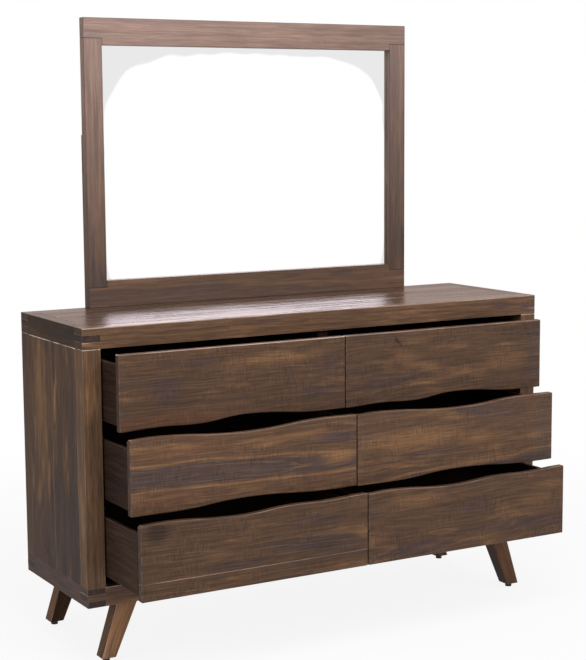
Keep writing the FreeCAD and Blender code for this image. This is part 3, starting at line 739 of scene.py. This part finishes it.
def ease_edges(work, ease, brow):
    """Rounds the brow's edges and then all sharp ones. Returns the layer that marks the brow."""
    brow_strip = work.faces.layers.int.new("brow_strip")
    if brow:
        ridge = [edge for edge in work.edges
                 if edge.is_manifold and edge.calc_length() > BROW_LENGTH
                 and max(face.normal.z for face in edge.link_faces) > SQUARE_ON
                 and max(face.normal.dot(brow.side) for face in edge.link_faces) > SQUARE_ON]
        strip = bmesh.ops.bevel(work, geom=ridge, offset=brow.width, segments=BROW_STEPS,
                                profile=0.5, affect="EDGES")
        for face in strip["faces"]:
            face[brow_strip] = 1
    edges = [edge for edge in work.edges
             if edge.is_manifold and edge.calc_face_angle(0) > SHARP]
    bmesh.ops.bevel(work, geom=edges, offset=ease, segments=EASE_STEPS, profile=0.5,
                    affect="EDGES", clamp_overlap=True)
    bmesh.ops.dissolve_degenerate(work, edges=work.edges, dist=WELD)
    bmesh.ops.recalc_face_normals(work, faces=work.faces)
    return brow_strip


# %% [markdown]
# ### Each board's place in its log
# A cut says how a board was sawn from its log, in millimetres: where along the log it starts,
# the heart's height over its middle and how that rises along it, the heart's depth behind its
# face and how that leans, and its tint, under 1 darker and over 1 lighter. A board without one
# draws its own by lot.

# %% Each board's place in its log
Cut = namedtuple("Cut", "start height rise depth lean tint")
# What the lot is drawn from. Its height is in widths of the board.
LOT = Cut((20000, 60000), (-0.6, 0.6), (-0.03, 0.03), (20, 70), (-0.05, 0.05), (0.9, 1.1))
MILLIMETRES = 1000


def place_in_log(work, grain, cut, tint, stagger):
    """Gives every vertex its place in its board and in its log. Also returns its board's three
    axes, along, across and deep, with its tint. Sawn pieces start a stagger apart."""
    work.verts.index_update()
    places = [None] * len(work.verts)
    rings = [None] * len(work.verts)
    turned = {}
    for number, piece in enumerate(islands(work)):
        low = Vector([min(vertex.co[axis] for vertex in piece) for axis in range(3)])
        high = Vector([max(vertex.co[axis] for vertex in piece) for axis in range(3)])
        order = sorted(range(3), key=lambda axis: high[axis] - low[axis])
        depth, across, along = (unit(axis) for axis in order)
        if grain is not None:
            along = grain.normalized()
            across = (across - along * across.dot(along)).normalized()
        middle = (low + high) / 2
        length = (high - low).dot(unit(order[2])) * MILLIMETRES
        width = (high - low)[order[1]] * MILLIMETRES
        lot = Cut(*(chance.uniform(*span) for span in LOT))
        sawn = cut or lot._replace(height=lot.height * width)
        start = sawn.start + number * stagger
        for vertex in piece:
            rest = (vertex.co - middle) * MILLIMETRES
            far = rest.dot(along) + length / 2
            up = rest.dot(across)
            out = rest.dot(depth)
            places[vertex.index] = (far + start, up, out)
            rings[vertex.index] = (far + start, up - sawn.height - sawn.rise * far,
                                   out + sawn.depth + sawn.lean * far)
            turned[vertex] = (along, across, depth, tint or sawn.tint)
    return places, rings, turned


# %% [markdown]
# ### How a board's faces are rubbed, and painted with light and shade
# Rims that look up are painted paler than those that look down: wear, and a painted highlight on
# the edges that catch the light. Glue seams have their own wear. Ends may have a tone of their own
# next to the board's, lower rims a painted shade, and flanks a painted light and shade.

# %% How a board's faces are rubbed, and painted with light and shade
# From 0 to 1: the paleness of the upper rims, as wear and painted highlight, how far up a rim must
# look to be one, and the wear of the others and of the seams. Then the painted shade of lower
# rims, the painted light and shade of flanks left and right, and the tone of ends.
WearAndPaintedLight = namedtuple("WearAndPaintedLight", "upper upper_from lower seams low_tint flank_tint end_tint",
                  defaults=(1.0, 0.25, 0.12, None, 1.0, 1.0, 1.0))
# How squarely a face looks along, sideways or up to be an end, a flank or a top, and how
# slanted and small one is, in square metres, to be a rim.
END_ON = 0.75
FLANK_ON = 0.7
TOP_ON = 0.9
SLANTED = 0.985
RIM_AREA = 2e-3


def face_looks(work, turned, brow_strip, cuts, ease, brow, wear_and_light):
    """Whether each face is end grain, its rim's pale paint of wear and highlight, and its tint."""
    ends, rubbed_and_lit, tints = [], [], []
    for face in work.faces:
        along, across, depth, shade = turned[face.verts[0]]
        ends.append(1.0 if abs(face.normal.dot(along)) > END_ON else 0.0)
        square = max(abs(face.normal.dot(axis)) for axis in (along, across, depth))
        sharp = square < SLANTED and face.calc_area() < RIM_AREA
        # Upper rims are painted paler: wear, and a painted highlight.
        worn = wear_and_light.upper if face.normal.z > wear_and_light.upper_from else wear_and_light.lower
        if wear_and_light.seams and any(abs(face.calc_center_median()[axis] - place) < ease
                              for axis, place in cuts):
            worn = wear_and_light.seams
        rubbed_and_lit.append(brow.worn if face[brow_strip] else worn if sharp else 0.0)
        # Painted shade on rims that do not look up.
        if sharp and face.normal.z < wear_and_light.upper_from:
            shade *= wear_and_light.low_tint
        # Painted light and shade on faces that look sideways.
        if abs(face.normal.x) > FLANK_ON:
            shade *= wear_and_light.flank_tint
        tints.append(wear_and_light.end_tint if ends[-1] else shade)
    return ends, rubbed_and_lit, tints


# %% From a solid to a board
SMOOTH = math.radians(40)


def board(name, node, work, finish, top=None, grain=None, ease=EASE, brow=None, cuts=(),
          cut=None, tint=None, stagger=0, wear_and_light=WearAndPaintedLight()):
    """Makes a board of a solid and lets it ride on the node's body. cuts are the axis and place
    of its glue seams, and top is the finish of the faces that look up."""
    for axis, place in cuts:
        slice_at(work, axis, place)
    brow_strip = ease_edges(work, ease, brow)
    places, rings, turned = place_in_log(work, grain, cut, tint, stagger)
    ends, rubbed_and_lit, tints = face_looks(work, turned, brow_strip, cuts, ease, brow, wear_and_light)
    for face in work.faces:
        face.smooth = True
        face.material_index = 1 if top and face.normal.z > TOP_ON else 0
    mesh = bpy.data.meshes.new(name)
    work.to_mesh(mesh)
    work.free()
    mesh.set_sharp_from_angle(angle=SMOOTH)
    for label, spots in (("place", places), ("log", rings)):
        mesh.attributes.new(label, "FLOAT_VECTOR", "POINT").data.foreach_set(
            "vector", [number for spot in spots for number in spot])
    for label, values in (("end_grain", ends), ("rim", rubbed_and_lit), ("tint", tints)):
        mesh.attributes.new(label, "FLOAT", "FACE").data.foreach_set("value", values)
    mesh.materials.append(finish)
    if top:
        mesh.materials.append(top)
    item = bpy.data.objects.new(name, mesh)
    bpy.context.scene.collection.objects.link(item)
    weigh = item.modifiers.new("weigh_normals", "WEIGHTED_NORMAL")
    weigh.keep_sharp = True
    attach(item, body_of[node])
    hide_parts(node)


def boards(node, finish, wears_and_lights=None, wear_and_light=WearAndPaintedLight(), **choices):
    """All the solids of a node as boards. A list of wears with their painted light, if given, is
    for them from left to right.
    """
    source = solid_of(node)
    source.verts.index_update()
    groups = islands(source)
    for index, group in enumerate(groups):
        name = f"{node}_board" if len(groups) == 1 else f"{node}_board_{index + 1}"
        board(name, node, one_solid(source, group), finish,
              wear_and_light=wears_and_lights[index] if wears_and_lights else wear_and_light, **choices)
    source.free()
    return len(groups)


# %% [markdown]
# ## The case
# Two box-jointed frames with a panel let into each, four posts, the side panels and the centre
# divider. Wide boards are glued up from narrower ones, so the top panel is sawn into three, and
# the side panels and the rails under them into two.

# %% The case's cuts and seams
FRONT, LEFT = Vector((0, -1, 0)), Vector((-1, 0, 0))
RAIL_CUT = Cut(9000, 150, 0, 60, 0, 1.8)
POST_CUT = Cut(7000, 120, 0, 70, 0, 1.5)
SIDE_CUT = Cut(0, 160, 0, 60, 0, 0.93)
PLUM_CUT = Cut(3000, 150, 0, 60, 0, 1.0)
FINE_EASE = 0.0006
TOP_SHARES = (0.36, 0.7)
top_low, top_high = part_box("top_panel")
top_seams = [(1, top_low.y + (top_high.y - top_low.y) * share) for share in TOP_SHARES]
side_low, side_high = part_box("side_panels")
side_seams = [(1, (side_low.y + side_high.y) / 2)]
print("seams:", len(top_seams), "in the top panel,", len(side_seams), "in each side")

# %% The top frame
# The upper rims here, and the top front rail's brow, are painted pale: wear and a painted
# highlight.
TOP_SIDE_LEFT = WearAndPaintedLight(upper=0.4)
TOP_SIDE_RIGHT = WearAndPaintedLight(upper=0.4, end_tint=2.0)
made = boards("top_front_rail", planed_case, top=polished_top, cut=RAIL_CUT,
              brow=Brow(FRONT, 0.003, 0.45), wear_and_light=WearAndPaintedLight(upper=0.5))
made += boards("top_back_rail", planed_case, top=polished_top, wear_and_light=WearAndPaintedLight(upper=0.3))
made += boards("top_side_rails", planed_case, top=polished_top, tint=0.52,
               wears_and_lights=(TOP_SIDE_LEFT, TOP_SIDE_RIGHT))
made += boards("top_panel", planed_case, top=polished_top, cuts=top_seams, ease=FINE_EASE)
print("top:", made, "solids")

# %% The rest of the case
# The bottom front rail is lightened 1.7 times: painted light on a rail that sits in the shade of
# the open drawers.
made = boards("bottom_front_rail", planed_case, tint=1.7)
for node in ("bottom_back_rail", "back_left_post", "back_right_post", "slide_cleats"):
    made += boards(node, planed_case)
made += boards("bottom_side_rails", planed_case, cuts=side_seams, cut=PLUM_CUT,
               wear_and_light=WearAndPaintedLight(upper=0.1))
# The front posts' and the side panels' brows are painted pale: wear and a painted highlight.
for node in ("front_left_post", "front_right_post"):
    made += boards(node, planed_case, brow=Brow(FRONT, 0.0024, 1.0), cut=POST_CUT)
made += boards("side_panels", side_boards, cuts=side_seams, ease=FINE_EASE,
               brow=Brow(LEFT, 0.0026, 1.0), cut=SIDE_CUT, stagger=1000, wear_and_light=WearAndPaintedLight(lower=0.35))
# The bottom panel and the divider take the boxes' dark finish, as painted shade.
for node in ("bottom_panel", "centre_divider"):
    made += boards(node, box_wood_in_painted_shade)
made += boards("back_panel", planed_case, tint=0.8)
print("case:", made, "solids")

# %% [markdown]
# ## The legs
# Short square legs, splayed outwards and sawn level at the foot. The grain follows the splay.
# Each leg carries painted light and shade, lightest on the front left leg and darkest at the front
# of the back left one, and its flanks, which look left and right, a painted light and shade apart
# from its front.

# %% The legs
# Painted light and shade on each leg's faces, and then on its flanks.
LEG_PAINTED_LIGHT = {"front_left": 2.75, "front_right": 1.3, "back_left": 0.5, "back_right": 1.2}
LEG_FLANK_PAINTED_LIGHT = {"front_left": 0.4, "front_right": 0.4, "back_left": 3.0, "back_right": 0.4}
LEG_EASE = 0.0014
END_SLICE = 1e-4
for corner in LEG_PAINTED_LIGHT:
    node = f"{corner}_leg"
    low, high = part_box(node)
    points = [vertex.co for vertex in frame["nodes"][node].data.vertices]
    foot = [point.x for point in points if point.z < low.z + END_SLICE]
    top = [point.x for point in points if point.z > high.z - END_SLICE]
    splay = (min(foot) + max(foot)) / 2 - (min(top) + max(top)) / 2
    boards(node, leg_stock, grain=Vector((-splay, 0, high.z - low.z)), ease=LEG_EASE,
           tint=LEG_PAINTED_LIGHT[corner], wear_and_light=WearAndPaintedLight(flank_tint=LEG_FLANK_PAINTED_LIGHT[corner]))
print("legs:", len(LEG_PAINTED_LIGHT))

# %% [markdown]
# ## The drawers
# Each front is a thick plank. The bottom left one is glued up from two boards, and the seam shows
# as a fine pale line below its middle. The fronts' upper rims carry a painted highlight, strongest
# on the top row, and their lower rims a painted shade. The boxes behind are plain, and darker with
# painted shade.

# %% The drawers
SEAM_HEIGHT = 0.23
FRONT_EASE = 0.0007
# How pale each row's rims are painted: wear, and a painted highlight that is strongest on the top
# row. Lower rims get a painted shade.
ROW_WEAR_AND_HIGHLIGHT = {
    "top": WearAndPaintedLight(upper=1.0, upper_from=0.25, seams=0.8, low_tint=0.7),
    "middle": WearAndPaintedLight(upper=0.75, upper_from=0.8, seams=0.8, low_tint=0.7),
    "bottom": WearAndPaintedLight(upper=0.6, upper_from=0.8, seams=0.8, low_tint=0.7),
}
# Painted light on the boxes, most on the bottom row.
BOX_ROW_PAINTED_LIGHT = {"top": 1.0, "middle": 1.05, "bottom": 1.55}
FRONT_CUTS = {
    "top_left": Cut(0, 150, 0, 60, 0, 0.96),
    "top_right": Cut(0, 20, 0.04, 75, 0.02, 0.91),
    "middle_left": Cut(0, -4, -0.03, 8, 0.042, 1.25),
    "middle_right": Cut(0, -120, 0.05, 40, 0, 1.15),
    "bottom_left": Cut(0, 110, -0.03, 50, 0.03, 0.95),
    "bottom_right": Cut(0, -60, 0.06, 60, 0.02, 0.96),
}
for number, (label, cut) in enumerate(FRONT_CUTS.items()):
    name = f"{label}_drawer"
    low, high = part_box(f"{name}_front")
    seam = [(2, low.z + SEAM_HEIGHT * (high.z - low.z))] if label == "bottom_left" else []
    row = label.split("_")[0]
    boards(f"{name}_front", sawn_fronts, cuts=seam, ease=FRONT_EASE, wear_and_light=ROW_WEAR_AND_HIGHLIGHT[row],
           cut=cut._replace(start=FRONT_STEP * number))
    for part in ("sides", "back", "bottom"):
        boards(f"{name}_{part}", box_wood_in_painted_shade, tint=BOX_ROW_PAINTED_LIGHT[row])
print("drawers:", len(FRONT_CUTS))

# %% [markdown]
# ## The mirror's frame
# Two rails and two stiles, halved past each other at the corners, with two struts up the back.

# %% The mirror's frame
FRAME_EASE = 0.0013
FRAME_WEAR = WearAndPaintedLight(upper=0.8, lower=0.8)
for node, tint in (("mirror_top_rail", 1.0), ("mirror_bottom_rail", 1.15),
                   ("mirror_stiles", 0.95)):
    boards(node, mirror_wood, ease=FRAME_EASE, wear_and_light=FRAME_WEAR, tint=tint)
boards("mirror_struts", planed_case)
boards("mirror_backing", planed_case, tint=0.8)
print("mirror: frame, struts and backing")

# %% [markdown]
# ## Silvered glass
# A mirror is a sheet of clear glass with a film of silver behind it. It returns nearly all of the
# light. Along the top and the upper sides the silver is painted a little greyer, up to a wavy
# line, as a painted reflection.

# %% Silvered glass
# Metres: half the bright field's width and height, how far it sits below the glass's middle,
# and the length of the waves in its edge.
BRIGHT_HALF = (0.5, 0.42)
BRIGHT_DROP = 0.09
WAVE_LENGTH = 0.16
WAVE_HEIGHT = 0.3
FIELD_EDGE = (1.13, 1.17)
# The silver, and the grey of the painted reflection outside the bright field.
SILVER, GREY_PAINTED_REFLECTION = "#FFFFFF", "#E9E9EA"
glass_low, glass_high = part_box("mirror_glass")
glass_middle = (glass_low + glass_high) / 2

silver, tree = new_material("silvered_glass")
spot = add(tree, "ShaderNodeTexCoord")
away = add(tree, "ShaderNodeVectorMath",
           {"operation": "SUBTRACT", 1: (glass_middle.x, 0, glass_middle.z - BRIGHT_DROP)},
           {0: spot.outputs["Object"]})
share = add(tree, "ShaderNodeVectorMath",
            {"operation": "MULTIPLY", 1: (1 / BRIGHT_HALF[0], 0, 1 / BRIGHT_HALF[1])},
            {0: away.outputs[0]})
# Squares of the shares make the round bright field nearly a rectangle.
square = add(tree, "ShaderNodeVectorMath", {"operation": "MULTIPLY"},
             {0: share.outputs[0], 1: share.outputs[0]})
reach = add(tree, "ShaderNodeVectorMath", {"operation": "LENGTH"}, {0: square.outputs[0]})
waves = add(tree, "ShaderNodeTexNoise", {"Scale": 1 / WAVE_LENGTH, "Detail": 1.0},
            {"Vector": away.outputs[0]})
wavy = add(tree, "ShaderNodeMath", {"operation": "MULTIPLY_ADD", 1: WAVE_HEIGHT},
           {0: waves.outputs[0], 2: reach.outputs["Value"]})
edge = add(tree, "ShaderNodeMapRange",
           {"interpolation_type": "SMOOTHSTEP", "From Min": FIELD_EDGE[0],
            "From Max": FIELD_EDGE[1]}, {"Value": wavy.outputs[0]})
silver_with_painted_grey = add(tree, "ShaderNodeMix",
           {"data_type": "RGBA", 6: linear(SILVER), 7: linear(GREY_PAINTED_REFLECTION)},
           {0: edge.outputs[0]})
shader = add(tree, "ShaderNodeBsdfPrincipled", {"Metallic": 1.0, "Roughness": 0.015},
             {"Base Color": silver_with_painted_grey.outputs[2]})
add(tree, "ShaderNodeOutputMaterial", links={"Surface": shader.outputs[0]})
frame["nodes"]["mirror_glass"].data.materials.clear()
frame["nodes"]["mirror_glass"].data.materials.append(silver)
print("glass:", [round(value, 3) for value in glass_high - glass_low], "m")

# %% [markdown]
# ## Steel and plastic
# The slides are rolled from steel sheet with a bright zinc plate, whose crystals, about 1.1 mm
# wide, shine unevenly. The bolts and screws are zinc-plated too. The glides are moulded black
# polyethylene, with a grain of about 0.7 mm from the mould.

# %% Zinc-plated steel
CRYSTALS_PER_METRE = 900.0

zinc, tree = new_material("zinc_plated_steel")
place = add(tree, "ShaderNodeTexCoord")
spangle = add(tree, "ShaderNodeTexNoise", {"Scale": CRYSTALS_PER_METRE, "Detail": 2.0},
              {"Vector": place.outputs["Object"]})
dull = add(tree, "ShaderNodeMapRange", {"To Min": 0.25, "To Max": 0.45},
           {"Value": spangle.outputs[0]})
shader = add(tree, "ShaderNodeBsdfPrincipled",
             {"Base Color": linear("#B4B7BA"), "Metallic": 1.0}, {"Roughness": dull.outputs[0]})
add(tree, "ShaderNodeOutputMaterial", links={"Surface": shader.outputs[0]})

# %% Moulded polyethylene
GRAINS_PER_METRE = 1500.0

plastic, tree = new_material("moulded_polyethylene")
place = add(tree, "ShaderNodeTexCoord")
grit = add(tree, "ShaderNodeTexNoise", {"Scale": GRAINS_PER_METRE, "Detail": 2.0},
           {"Vector": place.outputs["Object"]})
bump = add(tree, "ShaderNodeBump", {"Strength": 0.2, "Distance": 0.0002},
           {"Height": grit.outputs[0]})
shader = add(tree, "ShaderNodeBsdfPrincipled",
             {"Base Color": linear("#1B1B1C"), "Roughness": 0.5}, {"Normal": bump.outputs[0]})
add(tree, "ShaderNodeOutputMaterial", links={"Surface": shader.outputs[0]})

# %% The small parts
finish_of = {"case_slide_rails": zinc, "leg_bolts": zinc, "strut_screws": zinc,
             "leg_glides": plastic}
for label in FRONT_CUTS:
    finish_of[f"{label}_drawer_slides"] = zinc
for node, finish in finish_of.items():
    frame["nodes"][node].data.materials.clear()
    frame["nodes"][node].data.materials.append(finish)
print("small parts:", len(finish_of), "nodes")
